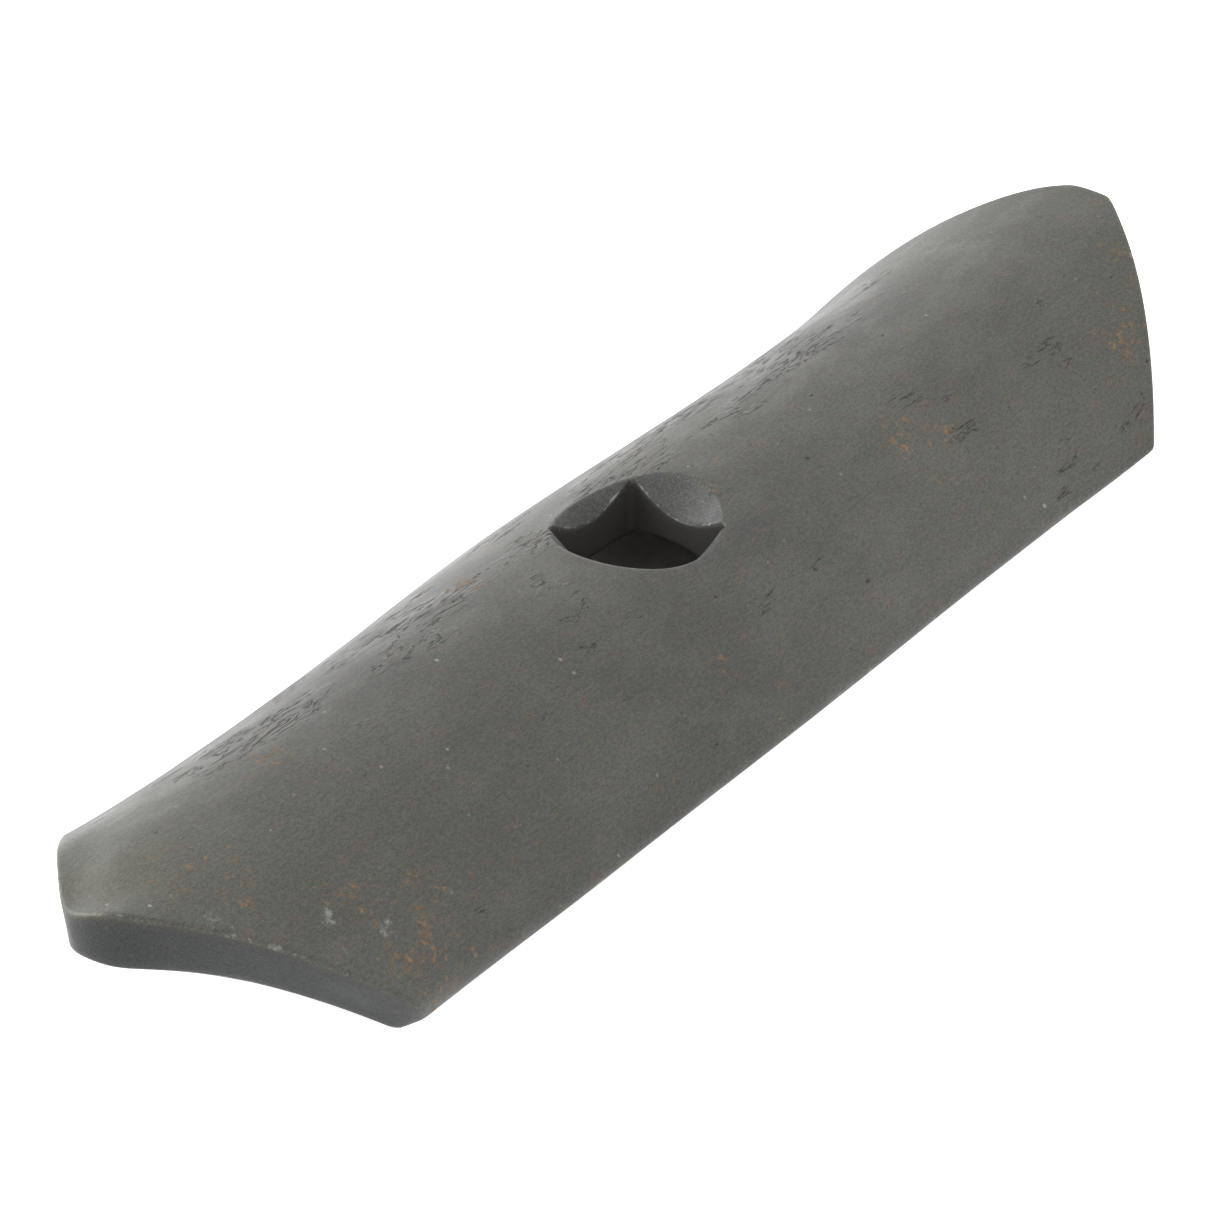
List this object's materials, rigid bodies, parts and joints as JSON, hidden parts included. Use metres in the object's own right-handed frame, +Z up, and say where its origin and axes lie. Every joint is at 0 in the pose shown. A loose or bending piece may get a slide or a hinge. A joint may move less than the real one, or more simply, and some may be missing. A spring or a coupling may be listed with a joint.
{
  "type": "reversible tillage point",
  "caption": "Reversible cultivator point: a steel bar pressed into an arch, pointed at both ends, with a countersunk square bolt hole.",
  "frame": {"origin": "centre of the bounding box's base, midway between the two long edges that the point stands on, directly under the bolt hole", "axes": "+X along the bar towards one nose, +Y across it, +Z up through the crown along the bolt hole's axis"},
  "size_m": [0.2008, 0.0526, 0.0223],
  "materials": {
    "forged_steel": "dark, satin-matt forging oxide with fine scale creases and a few rust specks"
  },
  "bodies": {
    "root": {"reversible_point": "forged_steel"}
  },
  "joints": []
}
